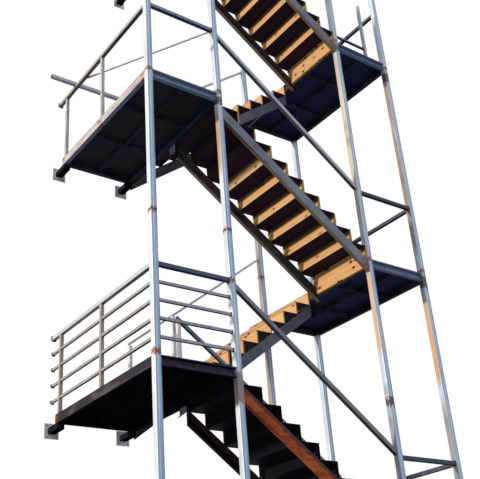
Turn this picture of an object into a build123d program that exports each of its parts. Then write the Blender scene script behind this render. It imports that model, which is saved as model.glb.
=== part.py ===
"""Steel fire escape stair: half-turn flights between left and right landings, on square posts.

X runs along the wall, Y runs into the wall, Z is up. The ground is at Z = 0.
"""
import os
from math import atan2, cos, sin
from build123d import *

# Square posts
post_size = 75
post_wall = 5
post_corner = 8
post_above_top = 1150
base_plate = 160
base_thickness = 12
anchor_hole = 14
anchor_pitch = 120

# Flights: ten risers each, nine treads
riser_height = 175
riser_count = 10
going = 235
tread_thickness = 8
riser_thickness = 20
lane_width = 1050
stringer_depth = 130
stringer_flange = 50
stringer_web = 7

# Landings
landing_width = 1050
stair_depth = 2250
wall_gap = 190
beam_depth = 100
beam_flange = 55
beam_web = 7
deck_thickness = 6
joist_depth = 70
joist_flange = 50
joist_web = 8
hanger_thickness = 10

# Wall fixings of the left landings
wall_plate_size = 180
wall_plate_thickness = 12
stub_size = 90
stub_height = 70
stub_reach = 60

# Railings
top_tube = 50
thin_tube = 30
tube_wall = 3
tube_corner = 5
seat_gap = 0.3
rail_height = 1000
rail_gap = 200
handrail_foot = 1050
handrail_top = 940
short_post = 40
rail_post_pitch = 1030
inner_post_height = 880

# Pieces of the unfinished railings
thin_bar = 20
thin_bar_setback = 570
loose_overhang = 330
loose_setback = 300
low_rail_height = 155
low_rail_length = 566

storey_pairs = 3
half_rise = riser_height * riser_count
tread_count = riser_count - 1
run = going * tread_count

# Everything is moved so that the middle of the footprint is the origin
total_width = 2 * landing_width + run
overhang = (base_plate - post_size) / 2
shift_x = -(total_width + overhang - loose_overhang) / 2
shift_y = -(stair_depth + wall_gap + wall_plate_thickness - overhang) / 2

left_0 = shift_x
left_1 = shift_x + landing_width
right_0 = left_1 + run
right_1 = right_0 + landing_width
front = shift_y
back = shift_y + stair_depth
wall = back + wall_gap
outer_lane = (front, front + lane_width)
wall_lane = (back - lane_width, back)

left_levels = [half_rise * 2 * n for n in range(1, storey_pairs + 1)]
right_levels = [half_rise * (2 * n - 1) for n in range(1, storey_pairs + 1)]
post_top = left_levels[-1] + post_above_top

os.makedirs("parts", exist_ok=True)


def block(x, y, z, mode=Mode.ADD):
    """A box from three (low, high) ranges, in the part being built."""
    with Locations(((x[0] + x[1]) / 2, (y[0] + y[1]) / 2, (z[0] + z[1]) / 2)):
        Box(x[1] - x[0], y[1] - y[0], z[1] - z[0], mode=mode)


def slab(points, y_low, y_high, mode=Mode.ADD):
    """A plate with an outline drawn in X and Z, between two Y values."""
    with BuildSketch(Plane(origin=(0, y_low, 0), x_dir=(1, 0, 0), z_dir=(0, -1, 0))) as outline:
        with BuildLine():
            Polyline(*points, close=True)
        make_face()
    extrude(outline.sketch, amount=-(y_high - y_low), mode=mode)


def bar(start, end, size, wall=0):
    """A square bar between two points, hollow when a wall is given."""
    p, q = Vector(*start), Vector(*end)
    along = (q - p).normalized()
    side = Vector(0, 1, 0) if abs(along.Z) > 0.99 else Vector(0, 0, 1).cross(along).normalized()
    with BuildSketch(Plane(origin=p, x_dir=side, z_dir=along)) as section:
        if wall and size >= top_tube:
            RectangleRounded(size, size, tube_corner)
        else:
            Rectangle(size, size)
        if wall:
            Rectangle(size - 2 * wall, size - 2 * wall, mode=Mode.SUBTRACT)
    extrude(section.sketch, amount=(q - p).length)


def sloped_tube(start, end, y, size, wall):
    """A square tube that climbs in X and Z, cut upright at both ends."""
    lean = cos(atan2(end[1] - start[1], end[0] - start[0]))
    for half, mode in ((size / 2, Mode.ADD), (size / 2 - wall, Mode.SUBTRACT)):
        up = abs(half / lean)
        low_edge = [(start[0], start[1] - up), (end[0], end[1] - up)]
        high_edge = [(end[0], end[1] + up), (start[0], start[1] + up)]
        slab(low_edge + high_edge, y - half, y + half, mode)


def save(builder, name):
    builder.part.label = name
    export_step(builder.part, "parts/" + name + ".step")


# Posts: four along the outer edge, two at the wall under the right landings
post_spots = {
    "post_a": (left_0, front), "post_b": (left_1 - post_size, front),
    "post_c": (right_0, front), "post_d": (right_1 - post_size, front),
    "post_c_wall": (right_0, back - post_size), "post_d_wall": (right_1 - post_size, back - post_size),
}
wall_post_top = right_levels[-1] + rail_height
for name, (px, py) in post_spots.items():
    top = wall_post_top if name.endswith("wall") else post_top
    with BuildPart() as post:
        centre = (px + post_size / 2, py + post_size / 2)
        with BuildSketch(Plane.XY.offset(base_thickness)):
            with Locations(centre):
                RectangleRounded(post_size, post_size, post_corner)
        extrude(amount=top - base_thickness)
        inside = post_size - 2 * post_wall
        with BuildSketch(Plane.XY.offset(base_thickness)):
            with Locations(centre):
                RectangleRounded(inside, inside, post_corner - post_wall)
        extrude(amount=top - base_thickness - post_wall, mode=Mode.SUBTRACT)
    save(post, name)

with BuildPart() as base_plates:
    for name, (px, py) in post_spots.items():
        cx = px + post_size / 2
        cy = py + post_size / 2 if not name.endswith("wall") else back - base_plate / 2
        with Locations((cx, cy, base_thickness / 2)):
            Box(base_plate, base_plate, base_thickness)
            with GridLocations(anchor_pitch, anchor_pitch, 2, 2):
                Cylinder(anchor_hole / 2, base_thickness, mode=Mode.SUBTRACT)
save(base_plates, "base_plates")


def landing_frame(x_low, x_high, step_side, level, wall_posts):
    """Channel frame below a deck; step_side is the edge that the flights meet."""
    top = level - deck_thickness
    low = top - beam_depth
    inset = riser_thickness
    fx_low = x_low if step_side == "right" else x_low + inset
    fx_high = x_high if step_side == "left" else x_high - inset
    y_start = front + post_size
    y_end = back - post_size if wall_posts else back
    # outer channel, open towards the street
    between = (x_low + post_size, x_high - post_size)
    block(between, (front + beam_flange - beam_web, front + beam_flange), (low, top))
    for z in ((low, low + beam_web), (top - beam_web, top)):
        block(between, (front, front + beam_flange), z)
    # side channels, web outwards
    for x, web in (((fx_low, fx_low + beam_flange), (fx_low, fx_low + beam_web)),
                   ((fx_high - beam_flange, fx_high), (fx_high - beam_web, fx_high))):
        y = (y_start, y_end)
        block(web, y, (low, top))
        for z in ((low, low + beam_web), (top - beam_web, top)):
            block(x, y, z)
    # short tie that joins the outer channel to the side channels behind each post
    reach = post_size + beam_web
    ties = ((max(x_low + beam_web, fx_low), x_low + reach), (x_high - reach, min(x_high - beam_web, fx_high)))
    stubs = ((x_low + post_size, x_low + reach), (x_high - reach, x_high - post_size))
    for tie, stub in zip(ties, stubs):
        block(tie, (y_start, y_start + beam_web), (low, top))
        block(stub, (front + beam_flange - beam_web, y_start + beam_web), (low, top))
    # wall channel, web to the wall
    wx = (x_low + post_size, x_high - post_size) if wall_posts else (fx_low, fx_high)
    block(wx, (back - beam_web, back), (low, top))
    for z in ((low, low + beam_web), (top - beam_web, top)):
        block(wx, (back - beam_flange, back), z)
    if wall_posts:
        for tie, stub in zip(ties, stubs):
            block(tie, (y_end - beam_web, y_end), (low, top))
            block(stub, (y_end - beam_web, back), (low, top))
    # angle joists: two along the wall and one across them
    for n in (1, 2):
        y = front + stair_depth * n / 3
        block((fx_low + beam_web, fx_high - beam_web), (y, y + joist_web), (top - joist_depth, top))
        block((fx_low + beam_web, fx_high - beam_web), (y, y + joist_flange), (top - joist_web, top))
    mid = (x_low + x_high) / 2
    across = (front + beam_flange - beam_web, back - beam_web)
    block((mid, mid + joist_web), across, (top - joist_depth, top))
    block((mid, mid + joist_flange), across, (top - joist_web, top))


def landing_deck(x_low, x_high, level, wall_posts):
    """Deck plate with the corners cut out around the posts."""
    z = (level - deck_thickness, level)
    block((x_low, x_high), (front, back), z)
    rows = [front] + ([back - post_size] if wall_posts else [])
    for x in (x_low, x_high - post_size):
        for y in rows:
            block((x, x + post_size), (y, y + post_size), z, mode=Mode.SUBTRACT)


landings = []
for n, level in enumerate(left_levels):
    landings.append(("left_landing_%d" % (n + 1), left_0, left_1, "right", level, False))
for n, level in enumerate(right_levels):
    landings.append(("right_landing_%d" % (n + 1), right_0, right_1, "left", level, True))
for name, x_low, x_high, step_side, level, wall_posts in landings:
    with BuildPart() as frame_part:
        landing_frame(x_low, x_high, step_side, level, wall_posts)
    save(frame_part, name + "_frame")
    with BuildPart() as deck_part:
        landing_deck(x_low, x_high, level, wall_posts)
    save(deck_part, name + "_deck")

# Flights. Each has a foot X, a direction of climb, a foot level and a lane
flights = []
for n in range(storey_pairs):
    foot_level = 0 if n == 0 else left_levels[n - 1]
    flights.append(("flight_%d" % (2 * n + 1), left_1, 1, foot_level, wall_lane, "wall"))
    flights.append(("flight_%d" % (2 * n + 2), right_0, -1, right_levels[n], outer_lane, "outer"))

slope = riser_height / going
drop = stringer_depth / cos(atan2(riser_height, going))
flange_drop = stringer_web / cos(atan2(riser_height, going))


def stringer_top(distance):
    """Height of the stringer's top edge above the foot level, at a distance from the foot."""
    return slope * (distance - riser_thickness) - tread_thickness


def stringer_outline(first, last, offset_low, offset_high, floor):
    """Outline in (distance, height) between two offsets below the top edge, cut off at the floor."""
    points = []
    corners = ((first, offset_low), (last, offset_low), (last, offset_high), (first, offset_high))
    for distance, offset in corners:
        height = stringer_top(distance) - offset
        if floor is not None and height < floor:
            points.append(((floor + offset + tread_thickness) / slope + riser_thickness, floor))
        else:
            points.append((distance, height))
    return points


for name, foot_x, way, foot_level, lane, kind in flights:
    on_ground = foot_level == 0
    floor = base_thickness if on_ground else None
    with BuildPart() as stringers:
        for edge in (0, 1):
            by_post = (kind == "outer" and edge == 0) or (kind == "wall" and edge == 1)
            first = 0 if by_post and kind == "outer" else -riser_thickness
            last = run if by_post else run + riser_thickness
            if on_ground:
                first = -riser_thickness
            y_low = lane[0] if edge == 0 else lane[1] - stringer_flange
            y_high = y_low + stringer_flange
            web = (y_low, y_low + stringer_web) if edge == 0 else (y_high - stringer_web, y_high)
            rows = [(0, drop, web), (0, flange_drop, (y_low, y_high)),
                    (drop - flange_drop, drop, (y_low, y_high))]
            for offset_low, offset_high, y in rows:
                outline = stringer_outline(first, last, offset_low, offset_high, floor)
                points = [(foot_x + way * d, foot_level + h) for d, h in outline]
                slab(points, y[0], y[1])
            if on_ground:
                toe = (base_thickness + drop + tread_thickness) / slope + riser_thickness
                block((foot_x + riser_thickness, foot_x + toe), (y_low, y_high), (0, base_thickness))
    save(stringers, name + "_stringers")
    with BuildPart() as treads:
        for k in range(1, riser_count):
            front_x = foot_x + way * (k - 1) * going
            depth = going + (riser_thickness if k < tread_count else 0)
            xs = sorted((front_x, front_x + way * depth))
            top = foot_level + k * riser_height
            block(xs, lane, (top - tread_thickness, top))
    save(treads, name + "_treads")

for kind, name in (("outer", "outer_lane_risers"), ("wall", "wall_lane_risers")):
    with BuildPart() as risers:
        for _, foot_x, way, foot_level, lane, flight_kind in flights:
            if flight_kind != kind:
                continue
            for k in range(riser_count):
                face = foot_x + way * k * going
                xs = sorted((face, face + way * riser_thickness))
                low = foot_level + k * riser_height
                high = low + riser_height - tread_thickness
                ys = lane
                if k == tread_count:
                    low -= tread_thickness
                    high = foot_level + half_rise - deck_thickness
                    ys = (lane[0] + post_size, lane[1]) if kind == "outer" else (lane[0], lane[1] - post_size)
                block(xs, ys, (low, high))
            # board below the first riser, on the edge beam of the landing that the flight starts from
            if foot_level:
                xs = sorted((foot_x, foot_x - way * riser_thickness))
                side = post_size if kind == "outer" else stringer_flange
                under_deck = foot_level - deck_thickness
                block(xs, (lane[0] + side, lane[1] - stringer_flange), (under_deck - beam_depth, under_deck))
    save(risers, name)

with BuildPart() as hangers:
    for _, foot_x, way, foot_level, lane, kind in flights:
        level = foot_level + half_rise
        face = foot_x + way * (run + riser_thickness)
        xs = sorted((face, face + way * hanger_thickness))
        ys = (lane[1] - stringer_flange, lane[1]) if kind == "outer" else (lane[0], lane[0] + stringer_flange)
        low = foot_level + stringer_top(run + riser_thickness) - drop
        block(xs, ys, (low, level - deck_thickness - beam_depth))
save(hangers, "flight_hangers")

# Wall plates and the stubs that carry the left landings at the wall
stub_spots = [(x, level) for level in left_levels
              for x in (left_0 + stub_size / 2, left_1 - riser_thickness - stub_size / 2)]
with BuildPart() as wall_plates:
    for x, level in stub_spots:
        mid_z = level - deck_thickness - beam_depth - stub_height / 2
        block((x - wall_plate_size / 2, x + wall_plate_size / 2), (wall, wall + wall_plate_thickness),
              (mid_z - wall_plate_size / 2, mid_z + wall_plate_size / 2))
save(wall_plates, "wall_plates")

with BuildPart() as wall_stubs:
    for x, level in stub_spots:
        z = level - deck_thickness - beam_depth
        block((x - stub_size / 2, x + stub_size / 2), (back - stub_reach, wall), (z - stub_height, z))
save(wall_stubs, "wall_stubs")

# Railings. A rail's centre line runs along the middle of the posts
rail_x = left_0 + post_size / 2
rail_y = front + post_size / 2
far_x = right_1 - post_size / 2
inner_x = left_1 - post_size
end_post_y = back - short_post
mid_post_y = end_post_y - rail_post_pitch
outer_inner_y = outer_lane[1] + short_post / 2
wall_inner_y = wall_lane[0] - short_post / 2

for n, level in enumerate(left_levels):
    heights = [rail_height - rail_gap * k for k in range(5)] if n == 0 else [rail_height]
    with BuildPart() as left_rail:
        for k, height in enumerate(heights):
            size = top_tube if k == 0 else thin_tube
            bar((rail_x, front + post_size, level + height), (rail_x, wall, level + height), size, tube_wall)
        for y in (mid_post_y, end_post_y):
            post_height = rail_height - top_tube / 2 - (seat_gap if len(heights) == 1 else 0)
            bar((rail_x, y, level), (rail_x, y, level + post_height), short_post)
    save(left_rail, "left_rail_%d" % (n + 1))

with BuildPart() as outer_rail:
    for k in range(5):
        z = left_levels[0] + rail_height - rail_gap * k
        size = top_tube if k == 0 else thin_tube
        bar((left_0 + post_size, rail_y, z), (left_1 - post_size, rail_y, z), size, tube_wall)
save(outer_rail, "outer_rails_first_landing")

with BuildPart() as outer_tops:
    for level in left_levels[1:]:
        z = level + rail_height
        bar((left_0 + post_size, rail_y, z), (left_1 - post_size, rail_y, z), top_tube, tube_wall)
    for level in right_levels[:-1]:
        z = level + rail_height
        bar((right_0 + post_size, rail_y, z), (right_1 - post_size, rail_y, z), top_tube, tube_wall)
save(outer_tops, "outer_top_rails")

with BuildPart() as side_rails:
    for level in right_levels:
        z = level + rail_height
        bar((far_x, front + post_size, z), (far_x, back - post_size, z), top_tube, tube_wall)
save(side_rails, "right_side_rails")

with BuildPart() as outer_handrails:
    for _, foot_x, way, foot_level, lane, kind in flights:
        if kind == "outer":
            high = (foot_x + way * run, foot_level + half_rise + handrail_top)
            sloped_tube((foot_x, foot_level + handrail_foot), high, rail_y, top_tube, tube_wall)
save(outer_handrails, "outer_flight_handrails")

wall_rail_y = back - post_size / 2
with BuildPart() as wall_handrails:
    for _, foot_x, way, foot_level, lane, kind in flights:
        if kind == "wall":
            high = (foot_x + run, foot_level + half_rise + handrail_top)
            low = (inner_x - short_post / 2, foot_level + rail_height)
            sloped_tube(low, high, wall_rail_y, thin_tube, tube_wall)
save(wall_handrails, "wall_flight_handrails")

# Short posts that stand on the left landings beside the flights
with BuildPart() as short_posts:
    wall_climb = (half_rise + handrail_top - rail_height) / (run + post_size + short_post / 2)
    seat = thin_tube / 2 / cos(atan2(wall_climb, 1))
    for level in [0] + left_levels[:-1]:
        high = level + rail_height - seat
        bar((inner_x, wall_rail_y, level), (inner_x, wall_rail_y, high), short_post, tube_wall)
    first = left_levels[0]
    for y, height in ((wall_inner_y, rail_height), (outer_inner_y, inner_post_height)):
        bar((inner_x, y, first), (inner_x, y, first + height), short_post, tube_wall)
save(short_posts, "short_posts")

# The one inner handrail that is in place, on the second flight
with BuildPart() as inner_handrail:
    half = short_post / 2
    high = first + inner_post_height + half * slope + half / cos(atan2(slope, 1))
    start_x, end_x = inner_x - half, right_0 + post_size
    low = high - (end_x - inner_x) * slope
    sloped_tube((start_x, high + half * slope), (end_x, low), outer_inner_y, short_post, tube_wall)
    foot_seat = low - half / cos(atan2(slope, 1))
    foot_x = end_x - half
    bar((foot_x, outer_inner_y, right_levels[0]), (foot_x, outer_inner_y, foot_seat), short_post, tube_wall)
save(inner_handrail, "inner_handrail")

# Pieces of the unfinished railings on the upper landings
second = left_levels[1]
top_right = right_levels[-1]
low_rail_end = right_0 + post_size + low_rail_length
with BuildPart() as loose_tubes:
    z = second + rail_height + top_tube
    y = back - loose_setback
    bar((left_0 - loose_overhang, y, z), (left_1 - short_post, y, z), top_tube, tube_wall)
    prop_x = left_1 - short_post * 2
    bar((prop_x, y, second), (prop_x, y, z - top_tube / 2 - seat_gap), short_post, tube_wall)
    z = second + rail_height
    brace_y = back - thin_bar_setback
    brace_lean = atan2(brace_y - rail_y, inner_x - rail_x)
    start_x = rail_x + top_tube / 2 + thin_bar / 2 * sin(brace_lean) + seat_gap
    end_y = rail_y + top_tube / 2 + thin_bar / 2 * cos(brace_lean) + seat_gap
    bar((start_x, brace_y, z), (inner_x - thin_bar / 2, end_y, z), thin_bar)
save(loose_tubes, "loose_tubes")

with BuildPart() as top_pieces:
    post_x = low_rail_end + seat_gap + short_post / 2
    bar((post_x, rail_y, top_right), (post_x, rail_y, top_right + rail_height), short_post, tube_wall)
    z = top_right + low_rail_height
    bar((right_0 + post_size, rail_y, z), (low_rail_end, rail_y, z), thin_tube, tube_wall)
save(top_pieces, "top_landing_rail_pieces")
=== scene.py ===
"""Looks of a steel fire escape stair: galvanised posts and rails, worn painted channels, pine risers.

Metres. X runs right along the landings, Y from the outer face to the back, Z up from the posts' feet.
"""
import math
import random

import bmesh
import bpy
from mathutils import Matrix, Vector, noise


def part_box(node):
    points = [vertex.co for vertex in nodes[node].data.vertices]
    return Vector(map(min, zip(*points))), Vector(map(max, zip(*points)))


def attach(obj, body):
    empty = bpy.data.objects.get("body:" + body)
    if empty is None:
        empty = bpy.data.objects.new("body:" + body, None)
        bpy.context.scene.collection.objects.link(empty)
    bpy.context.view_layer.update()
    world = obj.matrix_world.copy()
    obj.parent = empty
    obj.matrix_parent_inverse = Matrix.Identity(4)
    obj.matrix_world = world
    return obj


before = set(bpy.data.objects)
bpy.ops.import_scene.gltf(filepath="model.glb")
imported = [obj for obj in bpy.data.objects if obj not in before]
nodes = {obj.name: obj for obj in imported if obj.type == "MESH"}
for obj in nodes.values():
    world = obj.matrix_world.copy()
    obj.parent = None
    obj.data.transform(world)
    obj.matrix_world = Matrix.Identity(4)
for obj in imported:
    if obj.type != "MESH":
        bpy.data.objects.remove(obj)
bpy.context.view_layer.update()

random.seed(7)

# Sizes read from the frame
left_0, front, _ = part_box("post_a")[0]
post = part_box("post_a")[1].x - left_0
left_1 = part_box("post_b")[1].x
right_0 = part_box("post_c")[0].x
right_1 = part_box("post_d")[1].x
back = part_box("post_d_wall")[1].y
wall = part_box("wall_plates")[0].y
left_levels = [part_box("left_landing_%d_deck" % n)[1].z for n in (1, 2, 3)]
right_levels = [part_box("right_landing_%d_deck" % n)[1].z for n in (1, 2, 3)]
first = left_levels[0]
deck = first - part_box("left_landing_1_deck")[0].z
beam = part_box("left_landing_1_frame")[1].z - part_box("left_landing_1_frame")[0].z
base_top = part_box("base_plates")[1].z
top_pieces_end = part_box("top_landing_rail_pieces")[1].x

# Sizes of the stair that the frame doesn't name
post_corner = 0.008
tube_corner = 0.004
short_post_corner = 0.003
thin_tube = 0.030
top_tube = 0.050
short_post = 0.040
rail_height = 1.0
rail_gap = 0.2
rail_count = 5
rail_post_pitch = 1.030
channel_flange = 0.055
flange_round = 0.009
stringer_flange = 0.050
going = 0.235
rise = 0.175
tread = 0.008
riser_board = 0.020
anchor_pitch = 0.120
base_half = 0.080
wall_plate_half = 0.090
wall_plate_drop = 0.035
wall_anchor_reach = 0.066
rail_post_ys = (back - short_post - rail_post_pitch, back - short_post)
lane_line = (front + back) / 2

post_names = ("post_a", "post_b", "post_c", "post_d", "post_c_wall", "post_d_wall")
post_centres = {n: (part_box(n)[0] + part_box(n)[1]) / 2 for n in post_names}


def linear(colour):
    """A linear colour from sRGB hex. A colour that comes from a node stays as it is."""
    if not isinstance(colour, str):
        return colour
    parts = [int(colour[i:i + 2], 16) / 255 for i in (1, 3, 5)]
    return tuple(p / 12.92 if p <= 0.04045 else ((p + 0.055) / 1.055) ** 2.4 for p in parts) + (1.0,)


def add(material, kind, inputs=None, out=0, **settings):
    """Adds one node with its settings, and its inputs as values or as links, and gives one of its outputs."""
    tree = material.node_tree
    node = tree.nodes.new("ShaderNode" + kind)
    for name, value in settings.items():
        setattr(node, name, value)
    for key, value in (inputs or {}).items():
        if isinstance(value, bpy.types.NodeSocket):
            tree.links.new(value, node.inputs[key])
        else:
            node.inputs[key].default_value = value
    return node.outputs[out] if node.outputs else node


def new_material(name):
    material = bpy.data.materials.new(name)
    material.use_nodes = True
    material.node_tree.nodes.clear()
    return material


def patches(material, size, low, high, stretch=(1, 1, 1), detail=5.0):
    """Mask of uneven patches about size metres across, drawn out along an axis by stretch."""
    point = add(material, "TexCoord", out="Object")
    point = add(material, "Mapping", {"Vector": point, "Scale": tuple(1 / s for s in stretch)})
    cloud = add(material, "TexNoise",
                {"Vector": point, "Scale": 1 / size, "Detail": detail, "Roughness": 0.6}, "Fac")
    return add(material, "MapRange", {"Value": cloud, "From Min": low, "From Max": high},
               interpolation_type="SMOOTHSTEP")


def coat(material, under, masks, share, over):
    """Lays a share of one colour over another, where all the masks are 1."""
    much = share
    for mask in masks:
        much = add(material, "Math", {0: mask, 1: much}, operation="MULTIPLY")
    return add(material, "Mix", {0: much, 6: linear(under), 7: linear(over)}, 2, data_type="RGBA")


def along(material, axis):
    """One coordinate of the point on the stair, in metres."""
    point = add(material, "TexCoord", out="Object")
    return add(material, "SeparateXYZ", {"Vector": point}, axis)


def between(material, value, low, high, soft):
    """Mask that is 1 where the value is between low and high, with soft edges."""
    above = add(material, "MapRange", {"Value": value, "From Min": low - soft, "From Max": low + soft},
                interpolation_type="SMOOTHSTEP")
    below = add(material, "MapRange", {"Value": value, "From Min": high + soft, "From Max": high - soft},
                interpolation_type="SMOOTHSTEP")
    return add(material, "Math", {0: above, 1: below}, operation="MULTIPLY")


def facing(material, axis, start, full):
    """Mask that goes from 0 to 1 as the surface's normal along an axis goes from start to full."""
    normal = add(material, "TexCoord", out="Normal")
    part = add(material, "SeparateXYZ", {"Vector": normal}, axis)
    return add(material, "MapRange", {"Value": part, "From Min": start, "From Max": full})


def finished(material, colour, roughness, metallic, height=None, relief=0.001, gloss=0.5):
    """Surface shader with a colour, a roughness and a height map that stands relief metres proud."""
    inputs = {"Base Color": colour, "Roughness": roughness, "Metallic": metallic, "Specular IOR Level": gloss}
    if height is not None:
        inputs["Normal"] = add(material, "Bump", {"Height": height, "Distance": relief, "Strength": 1.0})
    add(material, "OutputMaterial", {"Surface": add(material, "BsdfPrincipled", inputs)})
    return material


def galvanised_tube(name, shade, light, band, drawn=(7, 7, 7), busy=1.0, grime_and_shade=0.0, top=None, reflection_x=None,
                    painted_left_light=0.0, painted=(), rings=(), left_light_spans=()):
    """Hot-dip galvanised steel tube: pale zinc with drawn blue-grey streaks, faint spangle and white bloom.

    drawn stretches the streaks along each axis, and busy is how strongly they show. top is a height and the
    tint above it. Painted reflections run beside a post's corner on its outer face, as blue, white and dark
    bands from a given x on. Left faces are paler with painted sunlight, and take painted warm light and
    painted shade at listed heights. Joints are painted dark, rings of rust show where lengths are welded,
    and grime with painted shade darkens the undersides.
    """
    material = new_material(name)
    x, z = along(material, "X"), along(material, "Z")
    # spangle of real zinc is 8 to 15 mm; drawn at 22 mm so that it shows
    point = add(material, "TexCoord", out="Object")
    spangle = add(material, "TexVoronoi", {"Vector": point, "Scale": 1 / 0.022}, "Color")
    streaks = patches(material, 0.022, 0.4, 0.62, drawn, 2.0)
    fine = patches(material, 0.006, 0.35, 0.7, drawn, 2.0)
    bloom = patches(material, 0.25, 0.42, 0.68, (1, 1, 3))
    metal = coat(material, shade, [spangle], 0.4 * busy, light)
    metal = coat(material, metal, [streaks], 0.75 * busy, band)
    metal = coat(material, metal, [fine], 0.25 * busy, "#7E8794")
    metal = coat(material, metal, [bloom], 0.4, light)
    if reflection_x is not None:
        # painted reflections on the outer face: distances from the corner, tint and share of each band
        outer, broken = facing(material, "Y", -0.5, -0.9), patches(material, 0.1, 0.25, 0.6, (1, 1, 6))
        for low, high, tint, share in ((0.010, 0.022, "#7FA0CC", 0.6), (0.025, 0.036, "#FBFBF8", 0.5),
                                       (0.040, 0.060, "#84AED4", 0.8), (0.062, 0.075, "#4A6284", 0.85)):
            stripe = between(material, x, reflection_x + low, reflection_x + high, 0.005)
            metal = coat(material, metal, [stripe, outer, broken], share, tint)
    if painted_left_light or left_light_spans:
        left, patchy_light = facing(material, "X", -0.5, -0.9), patches(material, 0.12, 0.2, 0.5, (1, 1, 6))
    # painted sunlight: the left faces are made paler in uneven patches
    if painted_left_light:
        metal = coat(material, metal, [left, patchy_light], painted_left_light, "#E6E6E4")
    # painted warm light and painted shade on the left faces at the listed heights
    for low, high, tint in left_light_spans:
        metal = coat(material, metal, [between(material, z, low, high, 0.12), left, patchy_light], 0.78, tint)
    metal = coat(material, metal, [patches(material, 0.012, 0.68, 0.74, detail=2.0)], 0.6 * busy, "#7A5238")
    if top:
        start, tint = top
        high = add(material, "MapRange", {"Value": z, "From Min": start - 0.01, "From Max": start + 0.01})
        metal = coat(material, metal, [high], 0.8, tint)
    # grime with painted shade: the undersides are made darker
    if grime_and_shade:
        metal = coat(material, metal, [facing(material, "Z", -0.3, -0.6)], grime_and_shade, "#2E3038")
    shine = add(material, "Math", {0: bloom, 1: 0.2, 2: 0.4}, operation="MULTIPLY_ADD")
    if not rings:
        return finished(material, metal, shine, 0.25, streaks, 0.0005 * busy)
    # the paint on the joints and the rings of rust end in a ragged line
    ragged = patches(material, 0.025, 0.2, 0.8, (1, 1, 2))
    height = add(material, "Math", {0: ragged, 1: 0.08, 2: z}, operation="MULTIPLY_ADD")
    rust = coat(material, "#A85F2A", [fine], 1.0, "#6B3B22")
    covers = [(low, high, 0.012, 1.0, tint) for low, high, tint in painted]
    covers += [(level + 0.01, level + 0.065, 0.014, 0.95, rust) for level in rings]
    covered = 0.0
    for low, high, soft, share, tint in covers:
        cover = between(material, height, low, high, soft)
        metal = coat(material, metal, [cover], share, tint)
        covered = add(material, "Math", {0: cover, 1: covered}, operation="MAXIMUM")
    bare = add(material, "Math", {0: covered, 1: -0.25, 2: 0.25}, operation="MULTIPLY_ADD")
    return finished(material, metal, shine, bare, streaks, 0.0006)


def brushed_paint(name, body, light, dark, rust_share=0.0, web=None, web_x=None, inner=None, inner_y=None,
                  soft=0.1, feet=(), foot_x=None, lit_lip=None, beyond=None, ends=None, below="#34343F",
                  gloss=0.02):
    """Alkyd paint brushed over mill-scaled channel: chalked, scuffed lighter, with rust at the scuffs.

    web is the colour of a left web faded by the sun, inner that of members behind the outer face, a painted
    shade, lip a painted warm highlight along the lower edge of a sloping stringer, ends that of its cut ends,
    and below the painted shade and sky light of the undersides. beyond is an axis, a place on it and the
    tint past that place. Rust gathers at the feet of short posts and of stringers.
    """
    material = new_material(name)
    x, y = along(material, "X"), along(material, "Y")
    chalk = patches(material, 0.35, 0.35, 0.7)
    colour = coat(material, body, [chalk], 1.0, light)
    colour = coat(material, colour, [patches(material, 0.03, 0.6, 0.68, (4, 4, 1))], 0.4, "#A39E9A")
    if inner:
        far = [add(material, "MapRange", {"Value": y, "From Min": inner_y - soft,
                                          "From Max": inner_y + soft})]
        if web:
            tips = web_x + channel_flange
            far.append(add(material, "MapRange", {"Value": x, "From Min": tips - 0.003,
                                                  "From Max": tips + 0.005}))
        colour = coat(material, colour, far, 1.0, coat(material, inner, [chalk], 1.0, dark))
    colour = coat(material, colour, [patches(material, 0.09, 0.5, 0.75)], 0.6, dark)
    if web:
        face = add(material, "MapRange", {"Value": x, "From Min": web_x + 0.002, "From Max": web_x})
        pale = coat(material, web, [patches(material, 0.12, 0.45, 0.7, (1, 3, 1))], 0.6, "#6F625F")
        colour = coat(material, colour, [face], 1.0, pale)
    if beyond:
        axis, start, tint = beyond
        there = add(material, "MapRange", {"Value": along(material, axis), "From Min": start - 0.01,
                                           "From Max": start + 0.01})
        colour = coat(material, colour, [there], 1.0, tint)
    # painted shade and sky light: the undersides take a colour of their own, near black behind the outer face
    under = facing(material, "Z", -0.3, -0.6)
    if inner:
        below = coat(material, below, far, 0.9, "#1C1C26")
    colour = coat(material, colour, [under], 0.85, below)
    # painted warm highlight along the lower edge, on faces that look down and to the left
    if lit_lip:
        colour = coat(material, colour, [under, facing(material, "X", -0.3, -0.5)], 0.6, lit_lip)
    if ends:
        colour = coat(material, colour, [facing(material, "X", -0.9, -0.97)], 0.9, ends)
    grain = patches(material, 0.01, 0.3, 0.7, detail=2.0)
    rusty = coat(material, "#6E3D25", [grain], 1.0, "#9A5C32")
    scuffs = patches(material, 0.1, 0.76 - rust_share, 0.82 - rust_share)
    colour = coat(material, colour, [scuffs], 0.75, rusty)
    if foot_x is not None:
        colour = coat(material, colour, [between(material, x, foot_x - 0.1, foot_x + 0.1, 0.04),
                                         patches(material, 0.04, 0.42, 0.55)], 0.75, rusty)
    if feet:
        # the feet stand on the left edge, within a post's width
        edge = add(material, "MapRange", {"Value": x, "From Min": left_0 + post + 0.015,
                                          "From Max": left_0 + post - 0.015})
    for foot in feet:
        colour = coat(material, colour, [between(material, y, foot - 0.05, foot + 0.07, 0.04), edge,
                                         patches(material, 0.03, 0.42, 0.55)], 0.75, rusty)
    rough = add(material, "Math", {0: chalk, 1: 0.2, 2: 0.55}, operation="MULTIPLY_ADD")
    return finished(material, colour, rough, 0.0, grain, 0.0008, gloss)


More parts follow.
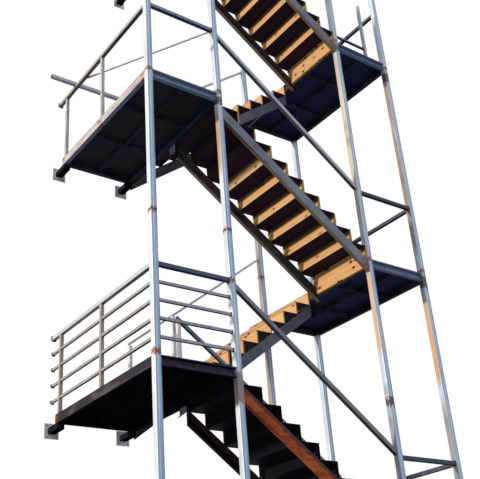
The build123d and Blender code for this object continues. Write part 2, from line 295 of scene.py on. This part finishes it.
def red_primer(name, inner_y):
    """Red oxide primer on the outer channel, brown where it rusts through; the inner one is black.

    It is darker along its upper edge.
    """
    material = new_material(name)
    blots = patches(material, 0.05, 0.45, 0.68, (3, 1, 1))
    colour = coat(material, "#AA4A2B", [patches(material, 0.3, 0.35, 0.65)], 1.0, "#C2643A")
    colour = coat(material, colour, [blots], 0.8, "#6C2F1E")
    far = add(material, "MapRange", {"Value": along(material, "Y"), "From Min": inner_y - 0.1,
                                     "From Max": inner_y + 0.1})
    colour = coat(material, colour, [far], 1.0, "#100F13")
    # height over the slope, which climbs to the left, from the stringer's top edge
    climb = add(material, "Math", {0: along(material, "X"), 1: rise / going, 2: along(material, "Z")},
                operation="MULTIPLY_ADD")
    edge = right_levels[0] + rise / going * (right_0 - riser_board) - tread
    climb = add(material, "Math", {0: patches(material, 0.05, 0.3, 0.7, (3, 1, 1)), 1: 0.028, 2: climb},
                operation="MULTIPLY_ADD")
    upper = add(material, "MapRange", {"Value": climb, "From Min": edge - 0.046, "From Max": edge - 0.034})
    colour = coat(material, colour, [upper], 0.85, "#54403F")
    colour = coat(material, colour, [patches(material, 0.02, 0.66, 0.72, (5, 1, 1))], 0.8, "#8F8D93")
    return finished(material, colour, 0.62, 0.0, blots, 0.0008, gloss=0.03)


def chequer_plate(name, body, light, below, black_under=None, gloss=0.02):
    """Rolled chequer plate under dark paint: raised lozenges 25 mm long on top, crossed in turn."""
    material = new_material(name)
    pitch = 0.030
    point = add(material, "TexCoord", out="Object")
    cell = add(material, "VectorMath", {0: point, 1: (pitch, pitch, 1.0)}, operation="DIVIDE")
    # cell numbers and distances from each cell's middle, along X and along Y
    numbers, offsets = [], []
    for axis in ("X", "Y"):
        value = add(material, "SeparateXYZ", {"Vector": cell}, axis)
        numbers.append(add(material, "Math", {0: value}, operation="FLOOR"))
        inside = add(material, "Math", {0: value}, operation="FRACT")
        offsets.append(add(material, "Math", {0: inside, 1: 0.5}, operation="SUBTRACT"))
    total = add(material, "Math", {0: numbers[0], 1: numbers[1]}, operation="ADD")
    odd = add(material, "Math", {0: total, 1: 2.0}, operation="FLOORED_MODULO")
    way = add(material, "Math", {0: odd, 1: 2.0, 2: -1.0}, operation="MULTIPLY_ADD")
    # a lozenge lies along one diagonal in odd cells, and along the other in even ones
    length = add(material, "Math", {0: offsets[1], 1: way, 2: offsets[0]}, operation="MULTIPLY_ADD")
    turned = add(material, "Math", {0: offsets[0], 1: way}, operation="MULTIPLY")
    width = add(material, "Math", {0: turned, 1: offsets[1]}, operation="SUBTRACT")
    length = add(material, "Math", {0: length, 1: length}, operation="MULTIPLY")
    width = add(material, "Math", {0: width, 1: width}, operation="MULTIPLY")
    reach = add(material, "Math", {0: width, 1: 9.0, 2: length}, operation="MULTIPLY_ADD")
    lozenge = add(material, "MapRange", {"Value": reach, "From Min": 0.34, "From Max": 0.12},
                  interpolation_type="SMOOTHSTEP")
    raised = add(material, "Math", {0: lozenge, 1: facing(material, "Z", 0.5, 0.9)}, operation="MULTIPLY")
    colour = coat(material, body, [patches(material, 0.3, 0.3, 0.7)], 1.0, light)
    colour = coat(material, colour, [raised, patches(material, 0.4, 0.4, 0.6)], 0.6, "#8E8B8C")
    colour = coat(material, colour, [patches(material, 0.07, 0.66, 0.74)], 0.6, "#5E3626")
    # painted shade: the undersides take a darker colour of their own
    colour = coat(material, colour, [facing(material, "Z", -0.3, -0.6)], 0.8, below)
    if black_under:
        low = add(material, "MapRange", {"Value": along(material, "Z"), "From Min": black_under,
                                         "From Max": black_under - 0.01})
        colour = coat(material, colour, [low], 0.85, "#121116")
    return finished(material, colour, 0.6, 0.0, raised, 0.0018, gloss)


def pine_board(name, black_below, tread_shade=True, knot_gap=0.29, knot_size=1.0):
    """Sawn pine risers: straight grain across the stair, brown knots, a colour of its own for each board.

    The boards below the first landing are near black.
    """
    material = new_material(name)
    point = add(material, "TexCoord", out="Object")
    # each step has its own offset, so that no two boards show the same grain
    step = add(material, "VectorMath", {0: point, 1: (going, 100.0, 100.0)}, operation="SNAP")
    chance = add(material, "TexWhiteNoise", {"Vector": step}, "Color", noise_dimensions="3D")
    shift = add(material, "VectorMath", {0: chance, 1: (3.0, 3.0, 3.0)}, operation="MULTIPLY")
    moved = add(material, "VectorMath", {0: point, 1: shift}, operation="ADD")
    # knots: 30 to 45 mm long, about three to a board
    apart = add(material, "VectorMath", {0: moved, 1: (1.0, knot_gap, 0.62 * knot_gap)}, operation="DIVIDE")
    flat = add(material, "CombineXYZ", {"X": add(material, "SeparateXYZ", {"Vector": apart}, "Y"),
                                        "Y": add(material, "SeparateXYZ", {"Vector": apart}, "Z")})
    knot = add(material, "TexVoronoi", {"Vector": flat, "Scale": 1.0}, "Distance", voronoi_dimensions="2D")
    dark_knot = add(material, "MapRange", {"Value": knot, "From Min": 0.085 * knot_size,
                                           "From Max": 0.055 * knot_size}, interpolation_type="SMOOTHSTEP")
    halo = add(material, "MapRange", {"Value": knot, "From Min": 0.3, "From Max": 0.06},
               interpolation_type="SMOOTHSTEP")
    # grain lines are 3 to 8 mm apart; drawn at 9 mm so that they show, and pushed aside by the knots
    fibre = add(material, "Mapping", {"Vector": moved, "Scale": (1 / 0.03, 1 / 0.6, 1 / 0.009)})
    push = add(material, "Math", {0: halo, 1: 1.4}, operation="MULTIPLY")
    fibre = add(material, "VectorMath", {0: fibre, 1: push}, operation="ADD")
    lines = add(material, "TexNoise", {"Vector": fibre, "Scale": 1.0, "Detail": 3.0}, "Fac")
    grain = add(material, "MapRange", {"Value": lines, "From Min": 0.35, "From Max": 0.68},
                interpolation_type="SMOOTHSTEP")
    tone = add(material, "TexWhiteNoise", {"Vector": step}, "Value", noise_dimensions="3D")
    colour = coat(material, "#E6B680", [tone], 1.0, "#D8A56C")
    colour = coat(material, colour, [grain], 0.4, "#BE864E")
    colour = coat(material, colour, [halo], 0.25, "#9C6A38")
    colour = coat(material, colour, [dark_knot], 1.0, "#4A2C18")
    # a painted highlight: a paler band along the foot of each board
    up = add(material, "Math", {0: along(material, "Z"), 1: rise}, operation="FLOORED_MODULO")
    foot = add(material, "MapRange", {"Value": up, "From Min": 0.02, "From Max": 0.006})
    colour = coat(material, colour, [foot], 0.5, "#E6C79A")
    stain = patches(material, 0.25, 0.5, 0.75)
    colour = coat(material, colour, [stain], 0.2, "#9A7450")
    if tread_shade:
        # painted shade under the treads: the top of each board's back is darkened
        edge = add(material, "Math", {0: patches(material, 0.05, 0.2, 0.8, (1, 3, 1)), 1: 0.02, 2: up},
                   operation="MULTIPLY_ADD")
        edge = add(material, "MapRange", {"Value": edge, "From Min": 0.122, "From Max": 0.132})
        for way in (-1, 1):
            lane = add(material, "MapRange", {"Value": along(material, "Y"),
                                              "From Min": lane_line - 0.01 * way,
                                              "From Max": lane_line + 0.01 * way})
            behind = facing(material, "X", 0.5 * way, 0.9 * way)
            colour = coat(material, colour, [edge, lane, behind], 0.8, "#2C2226")
            if way < 0:
                # and painted shade of the left landings covers the boards close under them
                for level in left_levels[1:]:
                    close = between(material, along(material, "Z"), level - 3 * rise - 0.005, level + 0.1,
                                    0.004)
                    for side in (behind, facing(material, "Z", -0.5, -0.9)):
                        colour = coat(material, colour, [close, lane, side], 0.96, "#1A1A22")
    for level in left_levels:
        # painted shade: the boards on the left landings' beams are darkened behind and below
        beam_shade = between(material, along(material, "Z"), level - deck - beam - 0.02, level - 0.003, 0.002)
        for side in (facing(material, "X", -0.5, -0.9), facing(material, "Z", -0.5, -0.9)):
            colour = coat(material, colour, [beam_shade, side], 0.96, "#16171C")
    low = add(material, "MapRange", {"Value": along(material, "Z"), "From Min": black_below,
                                     "From Max": black_below - 0.01})
    colour = coat(material, colour, [low], 1.0, coat(material, "#100F13", [stain], 1.0, "#19171B"))
    return finished(material, colour, 0.75, 0.0, grain, 0.0006, gloss=0.03)


def burnt_weld(name, scale="#3A2B26", rust="#7C4728", metallic=0.35, gloss=0.3):
    """Stick weld left unpainted: dark scale with brown rust in the ripples."""
    material = new_material(name)
    colour = coat(material, scale, [patches(material, 0.02, 0.4, 0.6)], 1.0, rust)
    return finished(material, colour, 0.7, metallic, gloss=gloss)


def zinc_fastener(name):
    """Electroplated steel nuts and nails: grey zinc dulled by weather, brown in the corners."""
    material = new_material(name)
    colour = coat(material, "#8B8F94", [patches(material, 0.008, 0.5, 0.65)], 1.0, "#6B4A36")
    return finished(material, colour, 0.45, 0.6)


def seen_directly(owner):
    """Mask that is 1 for the camera, and for what glossy and clear surfaces show."""
    seen = 0.0
    for ray in ("Is Camera Ray", "Is Glossy Ray", "Is Transmission Ray"):
        seen = add(owner, "Math", {0: add(owner, "LightPath", out=ray), 1: seen}, operation="MAXIMUM")
    return seen


def concrete_floor(name):
    """Pale smooth concrete, darker to bounced light than to the eye, so that undersides stay in shade."""
    material = new_material(name)
    shade = coat(material, "#D7D8D8", [patches(material, 1.5, 0.3, 0.7)], 1.0, "#DADADA")
    colour = coat(material, "#6F7175", [seen_directly(material)], 1.0, shade)
    return finished(material, colour, 0.9, 0.0)


# Heights on the posts: welded splices, paint over joints, rings of rust,
# and painted warm light and painted shade on the left faces
splice_heights = {"post_a": (5.13,), "post_b": (5.12,), "post_c": (3.45,), "post_d": (8.67,),
                  "post_c_wall": (5.9,), "post_d_wall": (2.9,)}
joint_paint = "#584E4C"
# on post_d the dark spans just under the right landings' beams are joint paint and the landings' painted
# shadow
painted_spans = {"post_b": ((3.16, 3.49, "#988580"), (6.88, 6.99, joint_paint)),
                 "post_c": ((8.63, 8.75, joint_paint), (3.38, 3.48, "#54504F")),
                 "post_d": ((5.08, 5.25, joint_paint), (8.46, 8.62, joint_paint)),
                 "post_c_wall": ((5.12, 5.24, joint_paint),), "post_d_wall": ((8.64, 8.75, joint_paint),)}
rust_rings = {"post_a": (7.0, 5.13, 3.54, 10.48), "post_b": (7.03, 5.12, 4.5, 10.5),
              "post_c": (8.78, 5.25, 1.75), "post_d": (8.67, 5.29, 1.75),
              "post_c_wall": (8.75, 5.9, 1.75), "post_d_wall": (5.25, 2.9, 1.75)}
# painted warm light and painted shade on the posts' left faces: heights and tint
post_light_spans = {"post_c": ((1.75, 3.3, "#8F8C84"), (4.0, 5.1, "#C9954A"), (5.7, 8.5, "#C8B288")),
                "post_d": ((1.75, 3.5, "#8F8C84"), (3.75, 4.9, "#CC8A30"), (5.6, 8.4, "#8F6D45")),
                "post_c_wall": ((3.6, 6.9, "#8E7656"),), "post_b": ((5.9, 6.75, "#C08A4E"),)}


def post_finish(name):
    """Galvanised tube of one post: its joints, rings of rust, and painted light and shade on its left face.
    """
    return galvanised_tube("galvanised_" + name, "#C3CCD6", "#E9EAEA", "#86A0BE", drawn=(1, 1, 40),
                           reflection_x=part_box(name)[0].x, painted_left_light=0.55 if name in ("post_a", "post_b") else 0.0,
                           painted=painted_spans.get(name, ()), rings=rust_rings[name],
                           left_light_spans=post_light_spans.get(name, ()))


def rail_finishes():
    """Finishes of the rails, the short posts and the loose tubes: zinc of several ages, and painted tube."""
    under_rails = [level + rail_height - top_tube for level in left_levels]
    short_zinc = galvanised_tube("galvanised_short_post", "#D6D3CF", "#EFE9E0", "#B4B2B4", busy=0.4,
                                 grime_and_shade=0.85)
    rail_zinc = galvanised_tube("galvanised_rail", "#9A9188", "#B3AAA0", "#82796F", busy=0.6, grime_and_shade=0.85,
                                top=(under_rails[0], "#C6C6C3"))
    worn_zinc = [galvanised_tube("galvanised_worn_rail_%d" % n, "#BDB6AE", "#D6D0C8", "#989088", busy=0.7,
                                 grime_and_shade=0.85, top=(under_rails[n - 1], "#A39686")) for n in (2, 3)]
    loose_zinc = galvanised_tube("galvanised_loose_tube", "#C2C1D0", "#D8D6E0", "#9E9FB2", busy=0.5,
                                 grime_and_shade=0.35)
    # the outer handrails are duller up to a height
    cool_zinc = galvanised_tube("galvanised_handrail", "#6C7079", "#83878F", "#565A64", busy=0.6, grime_and_shade=0.9,
                                top=(first + 1.4, "#B6B9C4"))
    wall_zinc = galvanised_tube("galvanised_wall_rail", "#C4C3C6", "#DAD8D6", "#A6A5AB", busy=0.4,
                                grime_and_shade=0.15)
    dull_tube = brushed_paint("dull_tube", "#747C92", "#8B92A6", "#4C5160", 0.03)
    side_tube = brushed_paint("dark_tube", "#4C515B", "#5B606A", "#32353C", 0.03)
    # the outer top rails are darker from the right posts on, and the last short post is pale
    pale_tube = brushed_paint("blue_grey_tube", "#8A96B0", "#9EA9C0", "#5A6174", 0.03,
                              beyond=("X", right_0 - top_tube, "#5C616C"))
    post_tube = brushed_paint("dull_rail_and_post", "#6A7188", "#7F869A", "#484D5A", 0.03,
                              beyond=("X", top_pieces_end - short_post - 0.004, "#C8CCD2"))
    grey_tube = brushed_paint("grey_tube", "#ABAAB0", "#BDBCC0", "#77767E", 0.03,
                              beyond=("Z", under_rails[0], "#62667E"))
    return {"short_posts": short_zinc, "left_rail_1": rail_zinc, "left_rail_2": worn_zinc[0],
            "left_rail_3": worn_zinc[1], "loose_tubes": loose_zinc, "outer_flight_handrails": cool_zinc,
            "wall_flight_handrails": wall_zinc, "inner_handrail": dull_tube, "right_side_rails": side_tube,
            "outer_top_rails": pale_tube, "top_landing_rail_pieces": post_tube,
            "outer_rails_first_landing": grey_tube}


def channel_finishes():
    """Finishes of the stringers, the landings' frames, the hangers, the stubs and the plates."""
    # what lies behind the tips of the outer and of the left channel's flanges is in shade
    shade_y = front + channel_flange + 0.008
    web_x = left_0 + 0.008
    outer_paint = brushed_paint("blue_grey_paint", "#7E8CA2", "#94A2B6", "#565F70", inner="#2B2A31",
                                inner_y=shade_y, soft=0.003, below="#7F8FB0")
    left_paint = brushed_paint("blue_black_paint", "#8699B4", "#9AADC6", "#566274", 0.02, web="#C9BDB6",
                               web_x=web_x, inner="#2B2A31", inner_y=shade_y, soft=0.003,
                               feet=rail_post_ys + (front + post + 0.03,), below="#8294AE")
    brown_paint = brushed_paint("brown_grey_paint", "#3F3C46", "#4E4A54", "#28252C", 0.03, web="#3B353B",
                                web_x=web_x, inner="#1F1D23", inner_y=shade_y, soft=0.003,
                                feet=rail_post_ys[1:], below="#15151A", gloss=0.0)
    outer_lane_paint = brushed_paint("grey_stringer_paint", "#84878F", "#9A9CA3", "#5B5D64", 0.02,
                                     inner="#2C2B32", inner_y=front + 0.5, lit_lip="#8A735C", foot_x=right_0)
    wall_lane_paint = brushed_paint("dark_stringer_paint", "#6A6972", "#7A7980", "#4A4952", 0.02,
                                    lit_lip="#75655A", ends="#26252B")
    black_paint = brushed_paint("black_paint", "#1F1D23", "#29272E", "#17151A", below="#121116", gloss=0.0)
    rusty_plate = brushed_paint("rusty_plate", "#5A4036", "#6E4E40", "#3A2620", 0.3)
    plate_zinc = galvanised_tube("galvanised_plate", "#F1EFEA", "#FAF8F4", "#DAD8D2", drawn=(3, 3, 3),
                                 busy=0.4)
    finishes = {"flight_1_stringers": black_paint,
                "flight_2_stringers": red_primer("red_oxide_primer", front + 0.5),
                "flight_3_stringers": wall_lane_paint, "flight_4_stringers": outer_lane_paint,
                "flight_5_stringers": wall_lane_paint, "flight_6_stringers": outer_lane_paint,
                "flight_hangers": black_paint, "wall_stubs": black_paint, "wall_plates": plate_zinc,
                "base_plates": rusty_plate, "left_landing_1_frame": brown_paint,
                "left_landing_2_frame": left_paint, "left_landing_3_frame": left_paint}
    for n in (1, 2, 3):
        finishes["right_landing_%d_frame" % n] = outer_paint
    return finishes


def step_finishes():
    """Finishes of the landings' decks, the treads and the riser boards."""
    black_plate = chequer_plate("black_chequer_plate", "#1E1D22", "#28272D", "#0A0A0E", gloss=0.0)
    brown_plate = chequer_plate("brown_chequer_plate", "#34343C", "#40404A", "#35333F")
    blue_plate = chequer_plate("blue_chequer_plate", "#34343C", "#40404A", "#2B325A")
    tread_plate = chequer_plate("maroon_chequer_plate", "#3A2B32", "#463840", "#3A2838",
                                black_under=first - 0.02)
    board = pine_board("pine_board", first - 0.005)
    finishes = {"left_landing_1_deck": black_plate, "left_landing_2_deck": brown_plate,
                "left_landing_3_deck": brown_plate, "outer_lane_risers": board, "wall_lane_risers": board}
    for n in (1, 2, 3):
        finishes["right_landing_%d_deck" % n] = blue_plate
    for n in range(1, 7):
        finishes["flight_%d_treads" % n] = tread_plate
    return finishes


def dress_nodes():
    """Gives each node of the frame its finish."""
    finishes = {name: post_finish(name) for name in post_names}
    for more in (rail_finishes(), channel_finishes(), step_finishes()):
        finishes.update(more)
    for name, thing in nodes.items():
        thing.data.materials.clear()
        thing.data.materials.append(finishes[name])


# Sizes of the welds, the nuts and the nails. A nut has its width across flats and its height
weld_step = 0.006
ring_step = 0.005
seam_bead = 0.004
deck_bead = 0.0035
outer_rail_bead = 0.0095
side_rail_bead = 0.0065
rail_back_bead = 0.011
nut_12 = (0.019, 0.010)
nut_10 = (0.016, 0.008)
washer_seat = 0.0002
washer_top = 0.0025
nail_head = 0.004
nail_proud = 0.0006
nail_from_end = 0.03
nail_from_edge = 0.035
nail_wander = 0.006

# Direction of a tube, and the side where the ring round it starts
tube_axes = {"X": (Vector((1, 0, 0)), Vector((0, 1, 0))), "Y": (Vector((0, 1, 0)), Vector((1, 0, 0))),
             "Z": (Vector((0, 0, 1)), Vector((1, 0, 0)))}


def bead(bm, route, radius, closed=False):
    """A rippled weld bead along a list of points: six-sided, about radius thick."""
    sides = 6
    count = len(route)
    rings = []
    for k, point in enumerate(route):
        ahead = route[(k + 1) % count] if closed or k + 1 < count else point
        behind = route[k - 1] if closed or k > 0 else point
        way = (ahead - behind).normalized()
        across = way.orthogonal().normalized()
        third = way.cross(across)
        ripple = 0.8 + 0.25 * math.sin(k * 2.1) + 0.35 * noise.noise(point * 90.0)
        if not closed and k in (0, count - 1):
            ripple *= 0.4
        ring = []
        for n in range(sides):
            turn = math.tau * n / sides
            offset = (across * math.cos(turn) + third * math.sin(turn)) * radius * ripple
            ring.append(bm.verts.new(point + offset))
        rings.append(ring)
    pairs = list(zip(rings, rings[1:]))
    if closed:
        pairs.append((rings[-1], rings[0]))
    else:
        bm.faces.new(list(reversed(rings[0])))
        bm.faces.new(rings[-1])
    for low, high in pairs:
        shift = 0
        if closed and low is rings[-1]:
            gaps = [(low[0].co - high[s].co).length for s in range(sides)]
            shift = gaps.index(min(gaps))
        for n in range(sides):
            m = (n + 1) % sides
            bm.faces.new((low[n], low[m], high[(m + shift) % sides], high[(n + shift) % sides]))


def weld_seam(bm, start, end, radius):
    """Straight weld bead."""
    start, end = Vector(start), Vector(end)
    count = max(3, round((end - start).length / weld_step))
    bead(bm, [start.lerp(end, k / (count - 1)) for k in range(count)], radius)


def ring_route(centre, axis, half, corner, step):
    """Points round the outline of a square tube that runs along an axis, in the plane through the centre."""
    normal, side = tube_axes[axis]
    up = normal.cross(side).normalized()
    points = []
    flat = half - corner
    for quarter in range(4):
        turn = math.tau * quarter / 4
        for k in range(4):
            angle = turn + math.tau / 4 * k / 3
            cx = flat * (1 if quarter in (0, 3) else -1)
            cy = flat * (1 if quarter in (0, 1) else -1)
            points.append((cx + corner * math.cos(angle), cy + corner * math.sin(angle)))
    route = []
    for k, (ax, ay) in enumerate(points):
        bx, by = points[(k + 1) % len(points)]
        count = max(1, round(math.hypot(bx - ax, by - ay) / step))
        for n in range(count):
            x = ax + (bx - ax) * n / count
            y = ay + (by - ay) * n / count
            route.append(Vector(centre) + side * x + up * y)
    return route


def weld_ring(bm, centre, axis, width, radius, corner=tube_corner, proud=0.001, step=ring_step):
    """Weld bead round a square tube."""
    bead(bm, ring_route(centre, axis, width / 2 + proud, corner, step), radius, closed=True)


def new_piece(name, bm, finish, smooth=True):
    """Turns a mesh into a piece of the stair that rides on the frame."""
    bmesh.ops.recalc_face_normals(bm, faces=bm.faces)
    mesh = bpy.data.meshes.new(name)
    bm.to_mesh(mesh)
    bm.free()
    for face in mesh.polygons:
        face.use_smooth = smooth
    mesh.materials.append(finish)
    piece = bpy.data.objects.new(name, mesh)
    bpy.context.scene.collection.objects.link(piece)
    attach(piece, "root")


def post_welds():
    """Rings where the post lengths are spliced and where they stand on their base plates."""
    bm = bmesh.new()
    for name in post_names:
        centre = post_centres[name]
        for z in splice_heights[name] + (base_top + 0.003,):
            weld_ring(bm, (centre.x, centre.y, z), "Z", post, seam_bead, post_corner, step=weld_step)
    return bm


def landing_welds():
    """Seams between the edge channels, the decks and the posts."""
    bm = bmesh.new()
    inset = 0.004
    tip_y = front + channel_flange
    face_y = tip_y - flange_round
    for levels, x_low, x_high in ((left_levels, left_0, left_1), (right_levels, right_0, right_1)):
        for level in levels:
            top = level - deck
            low = top - beam
            for x in (x_low + post, x_high - post):
                weld_seam(bm, (x, front + inset, low), (x, tip_y, low), seam_bead)
                weld_seam(bm, (x, face_y, low + 0.01), (x, face_y, top - 0.01), seam_bead)
                weld_seam(bm, (x, front + 0.002, level), (x, front + post, level), deck_bead)
            for x in (x_low, x_high - post):
                weld_seam(bm, (x + inset, front + post, level), (x + post - inset, front + post, level),
                          deck_bead)
    return bm


def left_rails():
    """Height and width of each rail on the left edge. Those on the outer edge between posts are the same."""
    rails = [(first + rail_height - rail_gap * k, top_tube if k == 0 else thin_tube)
             for k in range(rail_count)]
    return rails + [(level + rail_height, top_tube) for level in left_levels[1:]]


def rail_welds():
    """Rings where the rails end on the posts."""
    bm = bmesh.new()
    rails = [(left_0, left_1, z, width) for z, width in left_rails()]
    rails += [(right_0, right_1, level + rail_height, top_tube) for level in right_levels[:-1]]
    for x_low, x_high, z, width in rails:
        for x in (x_low + post, x_high - post):
            weld_ring(bm, (x, front + post / 2, z), "X", width, outer_rail_bead)
    for z, width in left_rails():
        weld_ring(bm, (left_0 + post / 2, front + post, z), "Y", width, side_rail_bead)
    for level in right_levels:
        for y in (front + post, back - post):
            weld_ring(bm, (right_1 - post / 2, y, level + rail_height), "Y", top_tube, side_rail_bead,
                      step=weld_step)
    return bm


def wall_welds():
    """Rusty rings round the back ends of the left rails."""
    bm = bmesh.new()
    for z, width in left_rails():
        weld_ring(bm, (left_0 + post / 2, wall - 0.006, z), "Y", width, rail_back_bead, proud=0.002)
    return bm


def foot_welds():
    """Rings round the short posts where they stand on the decks."""
    bm = bmesh.new()
    for level in left_levels:
        for y in rail_post_ys:
            weld_ring(bm, (left_0 + post / 2, y, level + 0.002), "Z", short_post, seam_bead,
                      short_post_corner)
    return bm


def hexagon_nut(bm, centre, axis, across, height):
    """Chamfered nut on a washer, with the end of its stud."""
    turn = Vector((0, 0, 1)).rotation_difference(Vector(axis)).to_matrix().to_4x4()

    def disc(sides, radius, low, high, bevel):
        rings = []
        for z, r in ((low, radius), (high - bevel, radius), (high, radius - bevel)):
            ring = []
            for k in range(sides):
                angle = math.tau * k / sides
                point = Vector((r * math.cos(angle), r * math.sin(angle), z))
                ring.append(bm.verts.new(Vector(centre) + turn @ point))
            rings.append(ring)
        bm.faces.new(list(reversed(rings[0])))
        bm.faces.new(rings[-1])
        for a, b in zip(rings, rings[1:]):
            for k in range(sides):
                m = (k + 1) % sides
                bm.faces.new((a[k], a[m], b[m], b[k]))

    # the washer, the nut and the stud's end, with radii as shares of the width across flats
    disc(20, across * 0.68, washer_seat, washer_top, 0.0005)
    disc(6, across * 0.57, washer_top, washer_top + height, 0.0012)
    disc(12, across * 0.32, washer_top + height, washer_top + height * 1.6, 0.001)


def anchor_nuts():
    """M12 anchors through the base plates, and M10 anchors through the wall plates."""
    bm = bmesh.new()
    half = anchor_pitch / 2
    for name in post_names:
        centre = post_centres[name]
        # the base plates of the wall posts end flush with their backs
        y = back - base_half if name.endswith("wall") else centre.y
        for dx in (-half, half):
            for dy in (-half, half):
                hexagon_nut(bm, (centre.x + dx, y + dy, base_top), (0, 0, 1), *nut_12)
    plate_low, plate_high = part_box("wall_plates")
    for level in left_levels:
        z = level - deck - beam - wall_plate_drop
        for x in (plate_low.x + wall_plate_half, plate_high.x - wall_plate_half):
            for dx in (-wall_anchor_reach, wall_anchor_reach):
                for dz in (-wall_anchor_reach, wall_anchor_reach):
                    hexagon_nut(bm, (x + dx, wall, z + dz), (0, -1, 0), *nut_10)
    return bm


def board_nails():
    """Two nail heads near each end of every riser board, on both faces."""
    bm = bmesh.new()
    for name in ("outer_lane_risers", "wall_lane_risers"):
        mesh = nodes[name].data
        for face in mesh.polygons:
            if abs(face.normal.x) < 0.9:
                continue
            corners = [mesh.vertices[i].co for i in face.vertices]
            ys = [c.y for c in corners]
            zs = [c.z for c in corners]
            # only the boards' broad faces are wider and higher than this
            if max(ys) - min(ys) < 0.5 or max(zs) - min(zs) < 0.08:
                continue
            x = corners[0].x + math.copysign(nail_proud, face.normal.x)
            for y in (min(ys) + nail_from_end, max(ys) - nail_from_end):
                for z in (min(zs) + nail_from_edge, max(zs) - nail_from_edge):
                    dz = random.uniform(-nail_wander, nail_wander)
                    ring = []
                    for k in range(8):
                        angle = math.tau * k / 8
                        ring.append(bm.verts.new((x, y + nail_head * math.cos(angle),
                                                  z + dz + nail_head * math.sin(angle))))
                    bm.faces.new(ring)
    return bm


def foot_boards():
    """Where a flight starts on a landing, one wide board hides the seam of the riser and the beam's board."""
    bm = bmesh.new()
    outer_lane_end, wall_lane_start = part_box("outer_lane_risers")[1].y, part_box("wall_lane_risers")[0].y
    beside = stringer_flange + 0.002
    starts = [(right_0, -1, level, front + post + 0.002, outer_lane_end - beside) for level in right_levels]
    starts += [(left_1, 1, level, wall_lane_start + beside, back - beside) for level in left_levels[:-1]]
    # distance from the beam and height over the deck: thick below the deck, a thin skin over the riser
    clear, foot, head = 0.0005, -deck - beam, rise - tread - 0.003
    skin, face = riser_board + clear, riser_board + 0.0025
    section = [(clear, foot), (face, foot), (face, head), (skin, head), (skin, -clear), (clear, -clear)]
    for x, way, level, y_low, y_high in starts:
        rows = [[bm.verts.new((x + way * d, y, level + h)) for d, h in section] for y in (y_low, y_high)]
        for k in range(len(section)):
            m = (k + 1) % len(section)
            bm.faces.new((rows[0][k], rows[0][m], rows[1][m], rows[1][k]))
        for row in rows:
            bm.faces.new(row)
    return bm


dress_nodes()
weld = burnt_weld("burnt_weld")
painted_weld = burnt_weld("painted_weld", "#1E1D22", "#3A2C28", 0.0, 0.0)
rusted_weld = burnt_weld("rusted_weld", "#46302A", "#7A5034", 0.0)
fastener = zinc_fastener("zinc_fastener")
wide_board = pine_board("pine_foot_board", first - 0.005, tread_shade=False, knot_gap=0.24, knot_size=1.7)
new_piece("post_weld_rings", post_welds(), weld)
new_piece("landing_weld_seams", landing_welds(), painted_weld)
new_piece("rail_weld_rings", rail_welds(), weld)
new_piece("wall_weld_rings", wall_welds(), rusted_weld)
new_piece("short_post_weld_rings", foot_welds(), weld)
new_piece("anchor_nuts", anchor_nuts(), fastener, smooth=False)
new_piece("foot_boards", foot_boards(), wide_board, smooth=False)
new_piece("board_nails", board_nails(), fastener, smooth=False)

# Floor
floor_mesh = bpy.data.meshes.new("floor")
reach = 60.0
floor_mesh.from_pydata([(-reach, -reach, 0), (reach, -reach, 0), (reach, reach, 0), (-reach, reach, 0)], [],
                       [(0, 1, 2, 3)])
floor_mesh.materials.append(concrete_floor("pale_floor"))
floor = bpy.data.objects.new("floor", floor_mesh)
bpy.context.scene.collection.objects.link(floor)

# World: soft cool light, and white to the camera and to glossy surfaces
world = bpy.data.worlds.new("studio")
bpy.context.scene.world = world
world.use_nodes = True
world.node_tree.nodes.clear()
sky = add(world, "Background", {"Color": linear("#DCE6F6"), "Strength": 0.92})
white = add(world, "Background", {"Color": linear("#FFFFFF"), "Strength": 1.0})
both = add(world, "MixShader", {0: seen_directly(world), 1: sky, 2: white})
add(world, "OutputWorld", {"Surface": both})

# Key light, low and from the left, a little from behind the outer face
key = bpy.data.lights.new("key", "SUN")
key.energy = 2.9
key.angle = math.radians(3)
key.color = (1.0, 0.93, 0.84)
key_object = bpy.data.objects.new("key", key)
bpy.context.scene.collection.objects.link(key_object)
key_from = Vector((-1.0, 0.12, 0.31))
key_object.rotation_euler = key_from.to_track_quat("Z", "Y").to_euler()

# Camera: standing close to the foot of the stair, looking up at the first and second landings
camera_place = Vector((-6.08094, -8.01158, 0.61519))
camera_forward = Vector((0.54466, 0.70380, 0.45608))
camera_up = Vector((-0.21546, -0.40814, 0.88713))
camera = bpy.data.cameras.new("camera")
camera.sensor_width = 36.0
camera.lens = 64.525
camera_object = bpy.data.objects.new("camera", camera)
bpy.context.scene.collection.objects.link(camera_object)
camera_right = camera_forward.cross(camera_up).normalized()
camera_up = camera_right.cross(camera_forward).normalized()
turned = Matrix((camera_right, camera_up, -camera_forward.normalized())).transposed().to_4x4()
camera_object.matrix_world = Matrix.Translation(camera_place) @ turned
bpy.context.scene.camera = camera_object
bpy.context.scene.view_settings.view_transform = "Standard"
